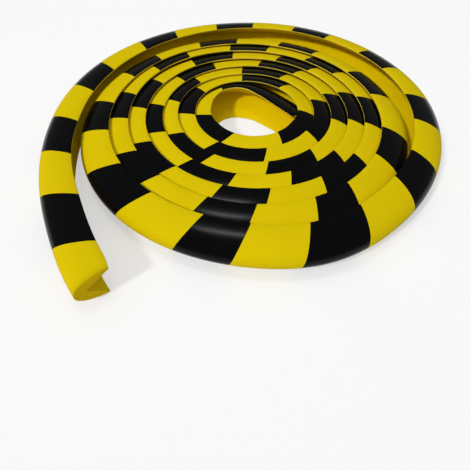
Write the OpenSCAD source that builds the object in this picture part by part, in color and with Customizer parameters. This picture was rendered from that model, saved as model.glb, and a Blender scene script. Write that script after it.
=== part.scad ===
// A foam edge protector as it is sold: one long strip, wound flat into a roll.
// The strip has two soft legs and a blunt nose, and its V notch slips over an edge.
// Wound up, the notch opens inwards and takes the nose of the turn inside it.

/* [Profile] */
// Height over both legs, which is also the height of the roll
profile_h = 34; // [24:1:50]
// Depth from the leg tips to the nose
profile_d = 30.3; // [30:0.1:31.5]
// Foam left between the nose and the bottom of the notch
wall_t = 10.6; // [8:0.1:10.6]
// Thickness of the blunt leg tips
tip_t = 1.3; // [1:0.1:2]
// Radius of the soft edge on each leg tip
tip_r = 0.6; // [0.3:0.05:0.6]
// Width of the flat bottom of the notch
notch_floor = 0.8; // [0.4:0.1:1.2]
// Half height of the oval that the outer side follows
oval_half_h = 18; // [17.5:0.1:18]
// How far behind the leg tips the centre of that oval lies
oval_back = 10; // [8:0.5:12]

/* [Loose outer turn] */
// Radius of the free end, which springs open
free_end_r = 299; // [250:1:400]
// Angle that the free end turns through
free_end_turn = 39.7; // [20:0.1:50]
// Radius of its quarter from the left to the back
left_r = 183.7; // [180:0.1:190]
// Radius of its quarter from the back to the right
back_r = 156.7; // [150:0.1:160]
// Radius of its quarter from the right to the front
right_r = 167.7; // [160:0.1:170]

/* [Wound turns] */
// Radius of the first half turn that is wound tight
coil_r = 141.5; // [141:0.1:143]
// Radius of the half turn after it
second_r = 131.5; // [131:0.1:132]
// Distance from one wound turn to the next
pitch = 16.8; // [16.8:0.05:17]
// Half turns that are wound tight
half_turns = 12; // [4:2:12]

/* [Inner end] */
// Radius of the first quarter of the innermost turn
core_r = 42.5; // [40:0.5:43]
// Length of the straight stretch that presses into the turn outside it
pressed_l = 16; // [10:1:18]
// Radius of the corner after it
corner_r = 22; // [20:1:26]
// Radius of the bend that leads back across the hole
cross_r = 42; // [38:1:46]
// Angle that this bend turns through
cross_turn = 47.5; // [40:0.5:50]
// Length of the straight inner end
inner_end_l = 40; // [20:1:40]
// Space between the innermost turn and the notch it is pressed into
press_gap = 0.5; // [0.4:0.1:1]

/* [Hidden] */

// A full circle in this many segments
circle_n = 40;
// Edges on the outer side of the profile
oval_n = 10;
// Tiny overlap that joins a straight stretch to the bend before it
join = 0.0005;
foam_yellow = [0.83, 0.73, 0.02];

mid_h = profile_h / 2;
notch_d = profile_d - wall_t;
oval_half_d = profile_d + oval_back;
// Where the oval is as high as the flat that the roll rests on
flat_angle = asin(mid_h / oval_half_h);

// Heading along the strip where the loose turn starts, and the way outwards from a heading
first_heading = 90;
quarter = 90;
function outward(heading) = [-sin(heading), cos(heading)];
function forward(heading) = [cos(heading), sin(heading)];

// A stretch of the strip is [radius of its leg tips, angle it turns through, straight length]
function bend(radius, turn) = [radius, turn, 0];
function straight(length) = [0, 0, length];
loose_turn = [bend(left_r, quarter), bend(back_r, quarter), bend(right_r, quarter)];
wound = [
    for (i = [0 : half_turns - 1])
        bend(i == 0 ? coil_r : second_r - (i - 1) * pitch / 2, 2 * quarter)
];
inner_end = [
    bend(core_r, quarter), straight(pressed_l), bend(corner_r, quarter),
    bend(cross_r, cross_turn), straight(inner_end_l)
];
stretches = concat(loose_turn, wound, inner_end);
inner_from = len(loose_turn) + len(wound);

// Heading, starting point and centre of every stretch follow from the one before it
function heading(i) = i == 0 ? first_heading : heading(i - 1) - stretches[i - 1][1];
function start(i) =
    i == 0 ? [0, 0]
    : stretches[i - 1][2] > 0 ? start(i - 1) + stretches[i - 1][2] * forward(heading(i - 1))
    : centre(i - 1) + stretches[i - 1][0] * outward(heading(i));
function centre(i) = start(i) - stretches[i][0] * outward(heading(i));

// Corner of the free end's nose, the nearest point of the roll
free_heading = first_heading + free_end_turn;
free_corner = [free_end_r, 0] + (free_end_r + profile_d) * outward(free_heading);

// Middle of the roll in plan, to a tenth of a millimetre
x_low = centre(0).x - left_r - profile_d;
x_high = centre(1).x + back_r + profile_d;
y_low = free_corner.y;
y_high = centre(0).y + left_r + profile_d;
middle = [round(5 * (x_low + x_high)) / 10, round(5 * (y_low + y_high)) / 10];

// Upper half of the outline, from the notch over the leg tip to the nose
function oval_point(angle) = [oval_half_d * cos(angle) - oval_back, oval_half_h * sin(angle)];
tip_points = [
    [0, mid_h - tip_t],
    [0, mid_h - tip_r],
    [tip_r, mid_h]
];
oval_points = [for (i = [0 : oval_n - 1]) oval_point(flat_angle * (1 - 2 * i / oval_n))];

module profile() {
    upper = concat([[notch_d, notch_floor / 2]], tip_points);
    lower = [for (i = [len(upper) - 1 : -1 : 0]) [upper[i].x, -upper[i].y]];
    polygon(concat(upper, oval_points, [oval_point(-flat_angle)], lower));
}

// One stretch of strip, with its leg tips on the given line and its nose outwards
module bent(centre, radius, heading, turn) {
    first_angle = (heading + quarter - turn) % 360;
    translate([centre.x, centre.y, mid_h])
        rotate_extrude(angle = turn, start = first_angle, $fn = circle_n)
            translate([radius, 0])
                profile();
}

module straight_run(start, heading, length) {
    from = start - join * forward(heading);
    translate([from.x, from.y, mid_h])
        rotate([0, 0, heading + quarter])
            rotate([quarter, 0, 0])
                linear_extrude(height = length + join)
                    profile();
}

module stretch(i, slack = 0) {
    if (stretches[i][2] > 0)
        straight_run(start(i), heading(i), stretches[i][2]);
    else
        bent(centre(i), stretches[i][0] - slack, heading(i), stretches[i][1]);
}

module free_end() {
    bent([free_end_r, 0], free_end_r, free_heading, free_end_turn);
}

// The innermost turn takes the form of the notch that it is pressed into
module innermost_turn() {
    difference() {
        union() {
            for (i = [inner_from : len(stretches) - 1])
                stretch(i);
        }
        for (i = [inner_from - 2 : inner_from - 1])
            stretch(i, press_gap);
    }
}

module foam_profile() {
    color(foam_yellow)
        translate([-middle.x, -middle.y, 0])
            union() {
                free_end();
                for (i = [0 : inner_from - 1])
                    stretch(i);
                innermost_turn();
            }
}

foam_profile();
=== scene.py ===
# %% [markdown]
# # A foam edge protector, wound into a roll
# The real thing is one long strip of soft yellow foam with black stripes printed on it. Its V notch is
# pushed over a hard edge, and its blunt nose softens a knock. It is sold wound flat into a roll.
# The lesson goes from the frame to the strip's path, its profile, the swept mesh, the finishes, the
# light and the camera. The strip's sizes are in millimetres, and MM turns them into Blender's metres.
# The floor and the lamps are given in metres at once.

# %% Load the frame
import math
import bpy
import numpy as np
from mathutils import Matrix, Vector


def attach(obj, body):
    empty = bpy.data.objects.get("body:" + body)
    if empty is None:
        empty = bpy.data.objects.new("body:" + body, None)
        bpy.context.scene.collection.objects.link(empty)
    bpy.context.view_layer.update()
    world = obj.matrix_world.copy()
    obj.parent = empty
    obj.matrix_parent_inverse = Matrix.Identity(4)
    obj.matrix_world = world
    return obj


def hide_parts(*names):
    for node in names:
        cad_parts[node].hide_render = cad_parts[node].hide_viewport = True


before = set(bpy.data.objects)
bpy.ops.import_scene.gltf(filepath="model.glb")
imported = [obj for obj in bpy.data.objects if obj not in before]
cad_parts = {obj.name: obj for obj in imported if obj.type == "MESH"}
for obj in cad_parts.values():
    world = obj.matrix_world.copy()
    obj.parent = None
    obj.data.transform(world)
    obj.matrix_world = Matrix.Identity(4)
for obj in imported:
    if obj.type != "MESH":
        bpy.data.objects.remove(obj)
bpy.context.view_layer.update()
MM = 0.001

# %% [markdown]
# ## The path of the strip
# The leg tips of the strip follow arcs that meet without a kink. A spiral formula would give even turns,
# but a real roll is a row of pushed and pulled bends. So each stretch is an arc with its own radius, or
# straight. Each also says how many stripes are printed along it.

# %% Two kinds of stretch
FIRST_HEADING = 90.0
QUARTER = 90.0
STRIPE = 50.0


def bend(radius, turn, stripes):
    return {"radius": radius, "turn": turn, "length": radius * math.radians(turn), "stripes": stripes}


def straight(length, stripes):
    return {"radius": None, "turn": 0.0, "length": length, "stripes": stripes}


print("a stripe is this long in mm:", STRIPE)

# %% [markdown]
# ## The stretches, from the free end to the inner end
# First comes the free end, which springs open, then three loose quarters, then half turns that lie tight
# in each other, then the innermost turn with its straight end. Foam stretches unevenly as it is wound, so
# the stripes were counted quarter by quarter off the photograph, and guessed where the turns hide them.

# %% Stretches of the strip
COIL_R = 141.5
SECOND_R = 131.5
PITCH = 16.8
HALF_TURNS = 12
FIRST_CUT = 0.41

half_turn_radii = [COIL_R] + [SECOND_R - step * PITCH / 2 for step in range(HALF_TURNS - 1)]
quarter_stripes = [
    (4.73, 4.63), (4.18, 4.53), (4.30, 4.19), (4.01, 3.78), (3.64, 3.40), (3.36, 2.92),
    (3.12, 3.05), (2.83, 2.57), (2.46, 2.59), (2.04, 1.88), (1.92, 2.11), (1.74, 1.58),
]
loose_turn = [
    bend(299.0, 39.7, 3.96),
    bend(183.7, QUARTER, 5.83),
    bend(156.7, QUARTER, 5.27),
    bend(167.7, QUARTER, 5.58),
]
wound = [
    bend(radius, QUARTER, count)
    for radius, counts in zip(half_turn_radii, quarter_stripes)
    for count in counts
]
innermost = [
    bend(42.5, QUARTER, 1.59),
    straight(16.0, 0.34),
    bend(22.0, QUARTER, 0.74),
    bend(42.0, 47.5, 0.33),
    straight(44.0, 0.36),
]
stretches = loose_turn + wound + innermost
print("strip length along its leg tips in m:", round(sum(s["length"] for s in stretches) * MM, 2))

# %% [markdown]
# ## Walking along the strip
# Each stretch starts where the one before it ended, with the same heading, so its centre follows from its
# radius alone. A curve object could carry the strip too, but the stripes would drift from their places on
# it. Here the stripe count is the ruler, and every vertex of the mesh is placed by it.

# %% Directions in plan
def outward(heading):
    return np.stack([-np.sin(np.radians(heading)), np.cos(np.radians(heading))], -1)


def forward(heading):
    return np.stack([np.cos(np.radians(heading)), np.sin(np.radians(heading))], -1)


print("outwards from the first heading:", outward(FIRST_HEADING).round(2))


# %% Lay the stretches end to end
def lay_out(pieces):
    """Gives every stretch its heading, start and centre. The loose turn's left quarter starts at 0, 0."""
    free = pieces[0]
    free["heading"] = FIRST_HEADING + free["turn"]
    free["centre"] = np.array([free["radius"], 0.0])
    spot, heading = np.zeros(2), FIRST_HEADING
    for s in pieces[1:]:
        s["heading"], s["start"] = heading, spot
        if s["radius"] is None:
            spot = spot + s["length"] * forward(heading)
        else:
            s["centre"] = spot - s["radius"] * outward(heading)
            heading = heading - s["turn"]
            spot = s["centre"] + s["radius"] * outward(heading)


lay_out(stretches)
stretch_starts = FIRST_CUT + np.concatenate([[0.0], np.cumsum([s["stripes"] for s in stretches])])
print("stripes from end to end:", round(stretch_starts[-1] - FIRST_CUT, 2))


# %% From a stripe count to a place
def place(stripe):
    """Leg tip in plan and heading, for an array of stripe counts."""
    index = np.clip(np.searchsorted(stretch_starts, stripe, side="right") - 1, 0, len(stretches) - 1)
    tips, headings = np.zeros(stripe.shape + (2,)), np.zeros(stripe.shape)
    for i, s in enumerate(stretches):
        here = index == i
        part = (stripe[here] - stretch_starts[i]) / s["stripes"]
        headings[here] = s["heading"] - s["turn"] * part
        if s["radius"] is None:
            tips[here] = s["start"] + (s["length"] * part)[:, None] * forward(s["heading"])
        else:
            tips[here] = s["centre"] + s["radius"] * outward(headings[here])
    return tips, headings


print("turns from end to end:", round(float(np.ptp(place(stretch_starts)[1])) / 360, 2))

# %% [markdown]
# ## The profile
# Cut across, the strip is a blunt oval nose with a V notch behind it, and its two legs end in thin tips.
# The outline is a closed loop, made of a few corners and one oval. Moulded foam has no sharp edges, so a
# small arc takes the place of each corner. A bevel modifier could round them too, but it would add its own
# faces between the rows, and the stripes need plain rows.

# %% Sizes of the profile
PROFILE_H = 34.0
PROFILE_D = 30.3
WALL_T = 10.6
TIP_T = 1.3
NOTCH_FLOOR = 0.8
OVAL_HALF_H = 18.0
OVAL_BACK = 10.0
MID_H = PROFILE_H / 2
NOTCH_D = PROFILE_D - WALL_T
NOTCH_SLOPE = (MID_H - TIP_T - NOTCH_FLOOR / 2) / NOTCH_D
print("notch depth in mm:", round(NOTCH_D, 1), "rise of its sides:", round(NOTCH_SLOPE, 3))

# %% Rounded corners
NOTCH_ROUND, INNER_TIP_ROUND, OUTER_TIP_ROUND = 1.2, 0.4, 0.6


def rounded(before, corner, after, radius, steps=4):
    """Points of a small arc that takes the place of a corner."""
    before, corner, after = (np.array(p, float) for p in (before, corner, after))
    back, on = before - corner, after - corner
    back_l, on_l = np.linalg.norm(back), np.linalg.norm(on)
    half = math.acos(float(back @ on / back_l / on_l)) / 2
    reach = min(radius / math.tan(half), back_l / 2, on_l / 2)
    first, final = corner + back / back_l * reach, corner + on / on_l * reach
    share = np.linspace(0, 1, steps + 1)[:, None]
    return list((1 - share) ** 2 * first + 2 * share * (1 - share) * corner + share ** 2 * final)


def between(a, b, count):
    """Points on the way from a to b, without its ends."""
    return [a + (b - a) * i / (count + 1) for i in range(1, count + 1)]


print("corners rounded to mm:", NOTCH_ROUND, INNER_TIP_ROUND, OUTER_TIP_ROUND)

# %% Outline: how far outwards from the leg tips, and the height over mid level
OVAL_POINTS, NOTCH_POINTS, SIDE_POINTS = 16, 4, 2

flat_angle = math.asin(MID_H / OVAL_HALF_H)
oval = [
    np.array([(PROFILE_D + OVAL_BACK) * math.cos(a) - OVAL_BACK, OVAL_HALF_H * math.sin(a)])
    for a in np.linspace(flat_angle, 0, OVAL_POINTS)
]
floor_top, floor_low = (NOTCH_D, NOTCH_FLOOR / 2), (NOTCH_D, -NOTCH_FLOOR / 2)
tip_in, tip_out = (0.0, MID_H - TIP_T), (0.0, MID_H)
floor_arc = rounded(floor_low, floor_top, tip_in, radius=NOTCH_ROUND)
inner_arc = rounded(floor_top, tip_in, tip_out, radius=INNER_TIP_ROUND)
outer_arc = rounded(tip_in, tip_out, oval[0], radius=OUTER_TIP_ROUND)
upper = floor_arc + between(floor_arc[-1], inner_arc[0], NOTCH_POINTS) + inner_arc
PRINT_FROM = len(upper)
upper += outer_arc + between(outer_arc[-1], oval[0], SIDE_POINTS) + oval
outline = np.array(upper + [p * (1, -1) for p in reversed(upper[1:-1])])
loop = np.vstack([outline, outline[:1]])
around = np.concatenate([[0.0], np.cumsum(np.linalg.norm(np.diff(loop, axis=0), axis=1))])
around -= around[PRINT_FROM]
PRINT_TO = len(outline) - PRINT_FROM
PRINT_WIDTH = around[PRINT_TO]
print("outline points:", len(outline), "printed width in mm:", round(float(PRINT_WIDTH), 1))

# %% [markdown]
# ## The lines between the stripes
# The print runs yellow and black in turn, and a yellow stripe is a little longer than a black one. The
# colours could come from a pattern in one material, but its lines would blur up close. Here each stripe
# ends exactly at an edge of the mesh, and yellow and black are two real materials. The foam is stretched
# unevenly, so STRETCHED_MM moves single lines along the strip, each given by its number.

# %% Lines between stripes
YELLOW_EXTRA = 0.033
LAST_LINE = 99
STRETCHED_MM = {
    1: -4, 2: 2, 5: -2, 6: -3, 14: -3, 20: 4, 22: -5, 23: -4, 29: 2, 30: 2, 32: -3, 33: -3, 34: -3, 35: 2,
    36: 3, 37: 5, 38: -3, 39: -2, 40: -2, 42: -2, 44: -2, 50: -2, 51: -2, 54: 3, 56: -2, 57: -3, 58: -3,
    60: 2, 64: -2, 66: 3, 68: 3, 69: -2, 79: 2, 85: 2, 87: -2, 88: 4, 89: -3, 94: 2, 96: 2,
}
LAST_STRIPE = stretch_starts[-1]


def boundary(k):
    """Yellow turns black at the odd counts, and black turns yellow at the even ones."""
    return k + (YELLOW_EXTRA if k % 2 else -YELLOW_EXTRA) + STRETCHED_MM.get(k, 0.0) / STRIPE


edges = [FIRST_CUT] + [boundary(k) for k in range(1, LAST_LINE + 1)] + [LAST_STRIPE]
print("lines moved by uneven stretch:", len(STRETCHED_MM), "of", LAST_LINE)

# %% [markdown]
# ## The stripes as rows of the mesh
# The stripes cross the strip at a slant, so the rows of the mesh take that slant. It isn't the same all
# round the roll, and a sine and a cosine of the heading blend it from side to side. Towards both cut ends
# the rows straighten up, so that the ends are square. Only the free end is cut a little askew, and its
# lower leg tip ends CUT_LEAN short. The small bends at the inner end get finer rows.

# %% Rows of the mesh, counted in stripes
ROWS_PER_STRIPE, FINE_ROWS, FINE_FROM, FEWEST_ROWS = 10, 18, 92, 4

rows, row_is_black = [], []
for k, (first, final) in enumerate(zip(edges[:-1], edges[1:])):
    density = FINE_ROWS if k > FINE_FROM else ROWS_PER_STRIPE
    steps = max(FEWEST_ROWS, round(density * (final - first)))
    rows += list(np.linspace(first, final, steps, endpoint=False))
    row_is_black += [k % 2 == 1] * steps
rows = np.array(rows + [LAST_STRIPE])
print("rows:", len(rows), "faces:", (len(rows) - 1) * len(outline))

# %% Slant of the rows
SLANT, SLANT_SIN, SLANT_COS = 0.262, 0.118, -0.098
STRAIGHTEN = 0.5
CUT_LEAN = 3.0

ease = np.clip(np.minimum(rows - FIRST_CUT, LAST_STRIPE - rows) / STRAIGHTEN, 0, 1)
slant_points = [around[0], 0.0, PRINT_WIDTH, around[-1]]
slant_values = [0.5, 0.0, 1.0, 0.5]
slant_share = np.interp(around[:-1], slant_points, slant_values)
row_heading = np.radians(place(rows)[1])
row_slant = SLANT + SLANT_SIN * np.sin(row_heading) + SLANT_COS * np.cos(row_heading)
stripe_at = rows[:, None] + (ease * row_slant)[:, None] * slant_share * PRINT_WIDTH / STRIPE
free_share = np.clip(1 - (rows - FIRST_CUT) / STRAIGHTEN, 0, 1)[:, None]
low_tip = (MID_H - outline[:, 1]) / PROFILE_H * np.clip(1 - outline[:, 0] / PROFILE_D, 0, 1)
stripe_at += free_share * low_tip * CUT_LEAN / STRIPE
print("slant from", round(float(row_slant.min()), 2), "to", round(float(row_slant.max()), 2))

# %% [markdown]
# ## The twist of the loose turn
# Nothing holds the loose turn flat, so it is twisted about its own length and its nose rises. Each row of
# the outline is turned about a point ROLL_AXIS out from the leg tips, and let down again until its lowest
# point touches the floor.

# %% Twist
ROLL_AXIS = 15.0
ROLL_STRIPES, ROLL_DEGREES = [0.0, 6.5, 9.5, 15.0, 18.0], [11.5, 11.5, 4.5, 5.0, 0.0]

roll = np.radians(np.interp(rows, ROLL_STRIPES, ROLL_DEGREES))[:, None]
rolled_out = ROLL_AXIS + (outline[:, 0] - ROLL_AXIS) * np.cos(roll) - outline[:, 1] * np.sin(roll)
height = (outline[:, 0] - ROLL_AXIS) * np.sin(roll) + outline[:, 1] * np.cos(roll)
height -= height.min(axis=1, keepdims=True) + MID_H
print("highest point over the floor in mm:", round(float(height.max() + MID_H), 1))

# %% [markdown]
# ## Where the foam gives way
# Turns that press on each other bulge or dent, and the thin leg tips bend in or out. A soft-body simulation
# finds shapes of this kind, but not the ones that this roll has, so they are given one by one. Tips bend by the
# millimetres listed at a few stripe counts, with smooth steps between. At the cut free end the upper
# corner is pulled in towards the nose. Each bulge has a place and a width in stripes, and a reach in mm.

# %% Bent leg tips
TIP_STRIPES = [1.8, 3.2, 4.6, 95.0, 95.6, 97.5, 98.2, 98.8, 99.15, 99.37, 99.55, 99.8, 100.0]
UPPER_TIP_MM = [0.0, 1.8, 0.0, 0.0, -3.0, -3.2, -0.8, -2.8, 0.9, 3.5, -0.5, -1.9, -2.8]
LOWER_TIP_MM = [0.0, 0.0, 0.0, 0.0, -3.0, -3.2, -2.0, -6.8, -6.5, -4.4, -2.2, 0.2, 1.6]
END_PULL_MM, END_PULL_OVER = 2.4, 0.3


def eased(stripe, knots, values):
    """Values that pass smoothly from knot to knot, and stay level beyond the first and the last."""
    spot = np.interp(stripe, knots, np.arange(len(knots)))
    before = np.minimum(spot.astype(int), len(knots) - 2)
    part = spot - before
    return np.take(values, before) + part ** 2 * (3 - 2 * part) * np.diff(values)[before]


near_tip = np.clip(1 - outline[:, 0] / PROFILE_D, 0, 1)
upper_part = (outline[:, 1] + MID_H) / PROFILE_H
tip_bend = upper_part * eased(stripe_at, TIP_STRIPES, UPPER_TIP_MM)
tip_bend += (1 - upper_part) * eased(stripe_at, TIP_STRIPES, LOWER_TIP_MM)
end_pull = END_PULL_MM * np.clip(1 - (rows - FIRST_CUT) / END_PULL_OVER, 0, 1)[:, None] ** 2
sway = near_tip * (tip_bend + upper_part * end_pull)
print("leg tips bend in mm from", round(float(sway.min()), 1), "to", round(float(sway.max()), 1))

# %% Bulges and dents
SWAYS = [
    (0.5, 0.5, 1.0), (1.8, 0.6, -1.0), (3.4, 1.0, 1.0), (19.9, 0.85, 6.0), (38.0, 1.2, 2.0),
    (45.6, 0.9, 2.6), (83.5, 0.9, 2.8), (88.6, 0.8, -2.0), (92.4, 0.8, 4.0), (100.1, 0.4, 4.5),
]
sway += sum(reach * np.exp(-((stripe_at - at) / width) ** 2 / 2) for at, width, reach in SWAYS)

tips, headings = place(stripe_at)
plan = tips + (rolled_out + sway)[..., None] * outward(headings)
print("bulges and dents:", len(SWAYS))

# %% [markdown]
# ## The innermost turn in its notch
# The innermost turn is pressed into the notch of the turn outside it, and the foam takes the notch's form.
# A boolean could cut it to that form, but it would break up the rows. So any point of it that would lie in
# the outer turn's legs moves up or down until it fits. The turn outside it is made of the last two wound
# half turns, and each has two quarters in the list, so their first quarters lie four and two before it.

# %% Press the innermost turn
PRESS_GAP = 0.5
INNERMOST_FROM = len(loose_turn) + len(wound)
outer_left, outer_right = stretches[INNERMOST_FROM - 4], stretches[INNERMOST_FROM - 2]


def press(plan, height, outer):
    """Fits points into the notch of one outer half turn, measured from that turn's own leg tips."""
    away = plan - outer["centre"]
    distance = np.linalg.norm(away, axis=-1)
    depth = distance - (outer["radius"] - PRESS_GAP)
    new_depth = np.minimum(depth, NOTCH_D - PRESS_GAP)
    room = NOTCH_FLOOR / 2 + (NOTCH_D - new_depth) * NOTCH_SLOPE
    fitted = plan + away * ((new_depth - depth) / distance)[..., None]
    return fitted, np.clip(height, -room, room)


in_core = stripe_at >= stretch_starts[INNERMOST_FROM]
middle_x = outer_left["centre"][0]
for outer, side in ((outer_left, plan[..., 0] < middle_x), (outer_right, plan[..., 0] >= middle_x)):
    fitted, new_height = press(plan, height, outer)
    chosen = in_core & side
    plan[chosen], height[chosen] = fitted[chosen], new_height[chosen]
print("points in the innermost turn:", int(in_core.sum()))

# %% Bring the roll to the middle of the frame
left, back = loose_turn[1], loose_turn[2]
free = loose_turn[0]
free_corner = free["centre"] + (free["radius"] + PROFILE_D) * outward(free["heading"])
plan_middle = np.array([
    (left["centre"][0] - left["radius"] + back["centre"][0] + back["radius"]) / 2,
    (free_corner[1] + left["centre"][1] + left["radius"] + PROFILE_D) / 2,
])
print("middle of the roll in the strip's own coordinates:", plan_middle.round(1))
plan -= plan_middle.round(1)
vertices = np.concatenate([plan, height[..., None] + MID_H], -1) * MM
size = vertices.reshape(-1, 3).max(0) - vertices.reshape(-1, 3).min(0)
print("swept size in mm:", (size / MM).round(1))

# %% [markdown]
# ## One closed mesh
# Rows and outline points make a grid of four-sided faces. The two cut ends are one face each, which
# Blender splits into triangles by itself. A face knows its finish from where it lies: printed yellow or
# black on the outside, pale foam on the blunt leg tips, plain skin in the notch, and cut foam on the ends.
# Each leg tip is three faces wide, the upper one up to the face at PRINT_FROM, and the print starts next
# to it. The lower leg mirrors the upper one.

# %% Build the mesh
YELLOW, BLACK, PLAIN, CUT, TIP = range(5)


def sweep_mesh(name, vertices, row_is_black):
    """A closed strip from a grid of vertices, rows by outline points."""
    count, ring = vertices.shape[:2]
    number = np.arange(count * ring).reshape(count, ring)
    near, far = number[:-1], number[1:]
    quads = np.stack([near, np.roll(near, -1, 1), np.roll(far, -1, 1), far], -1).reshape(-1, 4)
    ends = [list(number[0][::-1]), list(number[-1])]
    mesh = bpy.data.meshes.new(name)
    mesh.from_pydata(vertices.reshape(-1, 3).tolist(), [], quads.tolist() + ends)
    on_outside = (np.arange(ring) >= PRINT_FROM + 1) & (np.arange(ring) < PRINT_TO - 1)
    on_tip = (np.arange(ring) >= PRINT_FROM - 2) & (np.arange(ring) < PRINT_FROM + 1)
    on_tip |= on_tip[::-1]
    finish = np.full((count - 1, ring), PLAIN)
    finish[:, on_tip] = TIP
    finish[:, on_outside] = np.where(np.array(row_is_black), BLACK, YELLOW)[:, None]
    mesh.polygons.foreach_set("material_index", np.append(finish.reshape(-1), [CUT, CUT]).astype(np.int32))
    mesh.polygons.foreach_set("use_smooth", [True] * len(quads) + [False, False])
    return mesh


strip_mesh = sweep_mesh("foam_strip", vertices, row_is_black)
strip = bpy.data.objects.new("foam_strip", strip_mesh)
bpy.context.scene.collection.objects.link(strip)
print("faces:", len(strip_mesh.polygons))

# %% [markdown]
# ## Coordinates along the strip
# The mould and the winding leave marks that run along the strip, so some finishes need to know which way
# that is. A UV map gives every corner its length along the strip and its way around the outline. Both are
# true lengths in metres, so a pattern keeps its real scale.

# %% Strip coordinates for the finishes
STRIP_MAP = "strip_lengths"

uv = strip_mesh.uv_layers.new(name=STRIP_MAP)
along = stripe_at * STRIPE * MM
corner_vertex = np.zeros(len(strip_mesh.loops), dtype=np.int32)
strip_mesh.loops.foreach_get("vertex_index", corner_vertex)
row_of, point_of = corner_vertex // len(outline), corner_vertex % len(outline)
coordinates = np.stack([along[row_of, point_of], around[:-1][point_of] * MM], -1)
uv.data.foreach_set("uv", coordinates.reshape(-1))
strip_mesh.validate()
strip_mesh.update()
print("length of the map in m:", round(float(np.ptp(coordinates[:, 0])), 2))

# %% [markdown]
# ## Finishes
# The strip is soft polyurethane foam, moulded with a closed skin, and the yellow pigment goes all the way
# through. It has five finishes: the printed side's yellow skin, the black ink, the plain skin of the
# notch, the pale leg tips and the cut ends. Foam scatters light, so each starts from the high roughness
# and the faint gloss of a matt plastic. The ink starts from a smooth coat.

# %% Helpers for finishes
def linear(hex_colour):
    """An sRGB hex colour as the linear numbers that Blender's sockets want."""
    values = [int(hex_colour[i:i + 2], 16) / 255 for i in (1, 3, 5)]
    return [v / 12.92 if v <= 0.04045 else ((v + 0.055) / 1.055) ** 2.4 for v in values] + [1.0]


def add(tree, kind, inputs=None, **settings):
    """Adds one node. Each input is a value, or an output socket to link from."""
    node = tree.nodes.new(kind)
    for name, value in settings.items():
        setattr(node, name, value)
    for name, value in (inputs or {}).items():
        if isinstance(value, bpy.types.NodeSocket):
            tree.links.new(value, node.inputs[name])
        else:
            node.inputs[name].default_value = value
    return node


def new_finish(name, **shader_values):
    """A material with one Principled shader, its output already linked."""
    material = bpy.data.materials.new(name)
    material.use_nodes = True
    tree = material.node_tree
    shader = tree.nodes["Principled BSDF"]
    for socket, value in shader_values.items():
        shader.inputs[socket.replace("_", " ")].default_value = value
    return material, tree, shader


print("linear numbers of a mid grey:", [round(v, 3) for v in linear("#808080")])

# %% [markdown]
# ## What the foam's surface has
# Pigment and skin thickness vary, so the yellow drifts a little over a few centimetres. The mould leaves a
# grain, and the foam is drawn along it, which leaves faint lines along the strip. Real grain and lines are
# a few tenths of a millimetre wide and too fine to show here, so both are drawn coarser than they are.

# %% Drift, grain and drawn lines
MOTTLE_MM = 35.0
GRAIN_MM = 0.8
LINE_GAP_MM = 1.4
LINE_LENGTH_MM = 90.0


def foam_colour(tree, light_hex, deep_hex):
    """Yellow that drifts slightly from place to place, as pigment and skin thickness do."""
    where = add(tree, "ShaderNodeNewGeometry").outputs["Position"]
    mottle = add(tree, "ShaderNodeTexNoise", {"Vector": where, "Scale": 1 / (MOTTLE_MM * MM), "Detail": 3.0})
    mix = add(tree, "ShaderNodeMix", {"Factor": mottle.outputs["Fac"]}, data_type="RGBA")
    mix.inputs["A"].default_value = linear(deep_hex)
    mix.inputs["B"].default_value = linear(light_hex)
    return mix.outputs["Result"]


def foam_grain(tree):
    """Heights of the mould's fine grain."""
    where = add(tree, "ShaderNodeNewGeometry").outputs["Position"]
    grain = add(tree, "ShaderNodeTexNoise", {"Vector": where, "Scale": 1 / (GRAIN_MM * MM), "Detail": 2.0})
    return grain.outputs["Fac"]


def drawn_lines(tree, heights):
    """Adds faint lines along the strip to a height, as a mould leaves them on foam that is drawn out of it."""
    along_strip = add(tree, "ShaderNodeUVMap", uv_map=STRIP_MAP).outputs["UV"]
    scale = (1 / (LINE_LENGTH_MM * MM), 1 / (LINE_GAP_MM * MM), 1.0)
    stretched = add(tree, "ShaderNodeMapping", {"Vector": along_strip, "Scale": scale})
    lines = add(tree, "ShaderNodeTexNoise", {"Vector": stretched.outputs["Vector"], "Scale": 1.0, "Detail": 2.0})
    both = add(tree, "ShaderNodeMath", {0: lines.outputs["Fac"], 1: heights}, operation="ADD")
    return both.outputs["Value"]


print("grain and line spacing in mm:", GRAIN_MM, LINE_GAP_MM)

# %% [markdown]
# ## The moulded skin
# Where the foam hardened against the mould it has a closed, matt skin. Three finishes share it. The printed
# side slid along the mould, so it has the drawn lines, and it gives the eye an even, dull yellow. The skin of
# the notch is painted a touch brighter, as painted light that lifts the shade in the notch. The thin leg tips
# look pale, most likely because light passes through them, and a paler colour stands for that.

# %% Moulded foam skin
SKIN_GLOSS = 0.04
SKIN_RELIEF_MM, SKIN_RELIEF = 0.05, 0.6


def moulded_skin(name, roughness, light_hex, deep_hex, drawn=False):
    finish, tree, shader = new_finish(name, Roughness=roughness, Specular_IOR_Level=SKIN_GLOSS)
    tree.links.new(foam_colour(tree, light_hex, deep_hex), shader.inputs["Base Color"])
    heights = drawn_lines(tree, foam_grain(tree)) if drawn else foam_grain(tree)
    relief = {"Height": heights, "Distance": SKIN_RELIEF_MM * MM, "Strength": SKIN_RELIEF}
    surface = add(tree, "ShaderNodeBump", relief)
    tree.links.new(surface.outputs["Normal"], shader.inputs["Normal"])
    return finish


yellow_skin = moulded_skin("yellow_foam_skin", 0.7, "#D7BE03", "#CDB403", drawn=True)
# The notch skin is painted lighter than the printed yellow, to lift the shade in the notch.
notch_skin_painted_lighter = moulded_skin("unprinted_foam_skin_painted_lighter", 0.75, "#E1C303", "#D7B903")
tip_skin = moulded_skin("pale_foam_tip", 0.75, "#E8D64C", "#DECA3C")
print("skins:", yellow_skin.name, notch_skin_painted_lighter.name, tip_skin.name)

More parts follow.
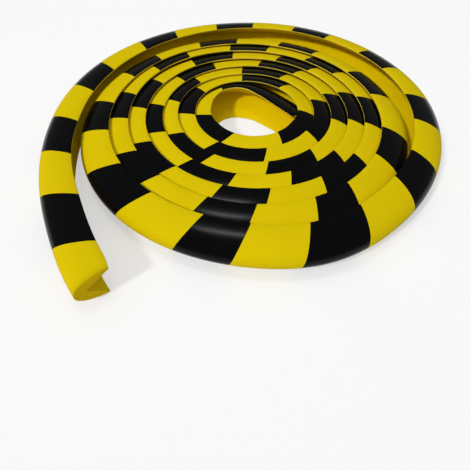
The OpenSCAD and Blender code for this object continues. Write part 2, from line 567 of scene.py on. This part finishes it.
# %% [markdown]
# ## The cut foam
# The ends are cut with a blade, which opens the foam's cells. They give the eye a rough, slightly deeper
# yellow with no gloss. Real cells are a few tenths of a millimetre wide, so they are drawn coarser.

# %% Cut polyurethane foam
CELL_MM = 0.7
CUT_GLOSS = 0.03
CELL_RELIEF_MM, CELL_RELIEF = 0.12, 0.7


def cut_foam():
    finish, tree, shader = new_finish("cut_polyurethane_foam", Roughness=0.9, Specular_IOR_Level=CUT_GLOSS)
    tree.links.new(foam_colour(tree, "#D9B806", "#C9A806"), shader.inputs["Base Color"])
    where = add(tree, "ShaderNodeNewGeometry").outputs["Position"]
    cells = add(tree, "ShaderNodeTexVoronoi", {"Vector": where, "Scale": 1 / (CELL_MM * MM)})
    relief = {"Height": cells.outputs["Distance"], "Distance": CELL_RELIEF_MM * MM, "Strength": CELL_RELIEF}
    surface = add(tree, "ShaderNodeBump", relief)
    tree.links.new(surface.outputs["Normal"], shader.inputs["Normal"])
    return finish


print("cell width in mm:", CELL_MM)

# %% [markdown]
# ## The black ink
# The black stripes are a thin coat of flexible ink, smoother than the foam under it. It fills most of the
# grain, so it alone shows a soft streak of light, which gives the eye the roundness of the nose.

# %% Black flexible ink
INK_GLOSS = 0.11
INK_RELIEF_MM, INK_RELIEF = 0.01, 0.5


def black_ink():
    finish, tree, shader = new_finish("black_flexible_ink", Roughness=0.2, Specular_IOR_Level=INK_GLOSS)
    shader.inputs["Base Color"].default_value = linear("#070708")
    heights = drawn_lines(tree, foam_grain(tree))
    relief = {"Height": heights, "Distance": INK_RELIEF_MM * MM, "Strength": INK_RELIEF}
    surface = add(tree, "ShaderNodeBump", relief)
    tree.links.new(surface.outputs["Normal"], shader.inputs["Normal"])
    return finish


for finish in (yellow_skin, black_ink(), notch_skin_painted_lighter, cut_foam(), tip_skin):
    strip_mesh.materials.append(finish)
print("finishes:", [m.name for m in strip_mesh.materials])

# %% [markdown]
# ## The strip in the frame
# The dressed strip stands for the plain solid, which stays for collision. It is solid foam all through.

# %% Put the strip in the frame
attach(strip, "root")
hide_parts("foam_profile")

# %% [markdown]
# ## Floor
# The roll lies on a plain white floor. A stronger lamp would make the floor white, but it would bleach the
# yellow too. So for the camera and in reflections, half of the floor's look is a plain white that gives no
# light to the object, and the other half keeps the object's shadow.

# %% Floor
FLOOR_SIZE = 6.0
FLOOR_GLOW = 0.5

bpy.ops.mesh.primitive_plane_add(size=FLOOR_SIZE, location=(0, 0, 0))
floor = bpy.context.object
floor.name = "floor"
floor_finish, floor_tree, floor_shader = new_finish("white_floor", Roughness=0.9, Specular_IOR_Level=0.1)
floor_shader.inputs["Base Color"].default_value = linear("#F4F4F4")
rays = add(floor_tree, "ShaderNodeLightPath").outputs
looked_at = {0: rays["Is Camera Ray"], 1: rays["Is Glossy Ray"]}
seen = add(floor_tree, "ShaderNodeMath", looked_at, operation="MAXIMUM")
glow = {0: seen.outputs["Value"], 1: FLOOR_GLOW}
glow_share = add(floor_tree, "ShaderNodeMath", glow, operation="MULTIPLY")
white = add(floor_tree, "ShaderNodeEmission", {"Color": (1.0, 1.0, 1.0, 1.0), "Strength": 1.0})
parts = {0: glow_share.outputs["Value"], 1: floor_shader.outputs["BSDF"], 2: white.outputs["Emission"]}
mixed = add(floor_tree, "ShaderNodeMixShader", parts)
floor_tree.links.new(mixed.outputs["Shader"], floor_tree.nodes["Material Output"].inputs["Surface"])
floor.data.materials.append(floor_finish)
print("floor in m:", FLOOR_SIZE, "share of plain white:", FLOOR_GLOW)

# %% [markdown]
# ## Light
# Three lamps do three jobs. The key stands at the front left and throws the shadows, which stay fairly
# soft. A wide fill from above opens them up. A long, dim panel overhead draws the streaks on the ink, and
# the other two lamps are kept out of reflections, so that its streak is the only one. A dim world lifts
# the deepest corners.


# %% Key lamp
def aim(lamp, spot, target):
    lamp.location = spot
    lamp.rotation_euler = (Vector(target) - Vector(spot)).to_track_quat("-Z", "Y").to_euler()


KEY_TRAVEL, KEY_ELEVATION = 45.0, 43.0
KEY_STRENGTH, KEY_SOFTNESS = 1.8, 7

key_data = bpy.data.lights.new("key", "SUN")
key_data.energy = KEY_STRENGTH
key_data.angle = math.radians(KEY_SOFTNESS)
key = bpy.data.objects.new("key", key_data)
key.visible_glossy = False
bpy.context.scene.collection.objects.link(key)
away = forward(KEY_TRAVEL) * -math.cos(math.radians(KEY_ELEVATION))
aim(key, (away[0], away[1], math.sin(math.radians(KEY_ELEVATION))), (0, 0, 0))
print("key lamp: strength", KEY_STRENGTH, "and", KEY_ELEVATION, "degrees high")

# %% Overhead panel
PANEL_LENGTH, PANEL_WIDTH, PANEL_WATTS = 0.45, 0.07, 2.8
PANEL_X, PANEL_HEIGHT = -0.2, 1.5

panel_data = bpy.data.lights.new("overhead_panel", "AREA")
panel_data.shape = "RECTANGLE"
panel_data.size, panel_data.size_y = PANEL_LENGTH, PANEL_WIDTH
panel_data.energy = PANEL_WATTS
panel = bpy.data.objects.new("overhead_panel", panel_data)
bpy.context.scene.collection.objects.link(panel)
aim(panel, (PANEL_X, 0.0, PANEL_HEIGHT), (PANEL_X, 0.0, 0))
print("panel in m:", PANEL_LENGTH, "by", PANEL_WIDTH)

# %% Overhead fill and world
FILL_STRENGTH, FILL_SOFTNESS = 1.05, 110
FILL_SPOT = (0, -0.2, 2.0)
WORLD_STRENGTH = 0.17

fill_data = bpy.data.lights.new("overhead_fill", "SUN")
fill_data.energy = FILL_STRENGTH
fill_data.angle = math.radians(FILL_SOFTNESS)
fill = bpy.data.objects.new("overhead_fill", fill_data)
fill.visible_glossy = False
bpy.context.scene.collection.objects.link(fill)
aim(fill, FILL_SPOT, (0, 0, 0))

world = bpy.data.worlds.new("studio")
world.use_nodes = True
world.node_tree.nodes["Background"].inputs["Color"].default_value = linear("#F2F4F8")
world.node_tree.nodes["Background"].inputs["Strength"].default_value = WORLD_STRENGTH
bpy.context.scene.world = world
bpy.context.scene.view_settings.view_transform = "Standard"
print("fill and world strength:", FILL_STRENGTH, WORLD_STRENGTH)

# %% [markdown]
# ## Camera
# The camera looks down from the front at about 52 degrees, a little rolled. Its place and its lens were
# worked out from the way the stripes and the turns shrink with distance, so its numbers aren't round. The
# lens is given in pixels of a square picture, and CAMERA_AT in millimetres.

# %% Camera
IMAGE_SIZE = 470
FOCAL_PIXELS = 430.13
SENSOR = 36.0
PITCH_DOWN, LEAN = 51.547, 2.280
CAMERA_AT = (-9.5, -367.8, 298.07)
CLIP_FROM = 0.01

down, lean = math.radians(PITCH_DOWN), math.radians(LEAN)
level_right, level_up = Vector((1, 0, 0)), Vector((0, math.sin(down), math.cos(down)))
ahead = Vector((0, math.cos(down), -math.sin(down)))
camera_right = math.cos(lean) * level_right + math.sin(lean) * level_up
camera_up = math.cos(lean) * level_up - math.sin(lean) * level_right
camera_data = bpy.data.cameras.new("camera")
camera_data.sensor_width = SENSOR
camera_data.lens = FOCAL_PIXELS / IMAGE_SIZE * SENSOR
camera_data.clip_start = CLIP_FROM
camera = bpy.data.objects.new("camera", camera_data)
bpy.context.scene.collection.objects.link(camera)
turned = Matrix((camera_right, camera_up, -ahead)).transposed().to_4x4()
camera.matrix_world = Matrix.Translation(Vector(CAMERA_AT) * MM) @ turned
bpy.context.scene.camera = camera
print("lens in mm:", round(camera_data.lens, 2))
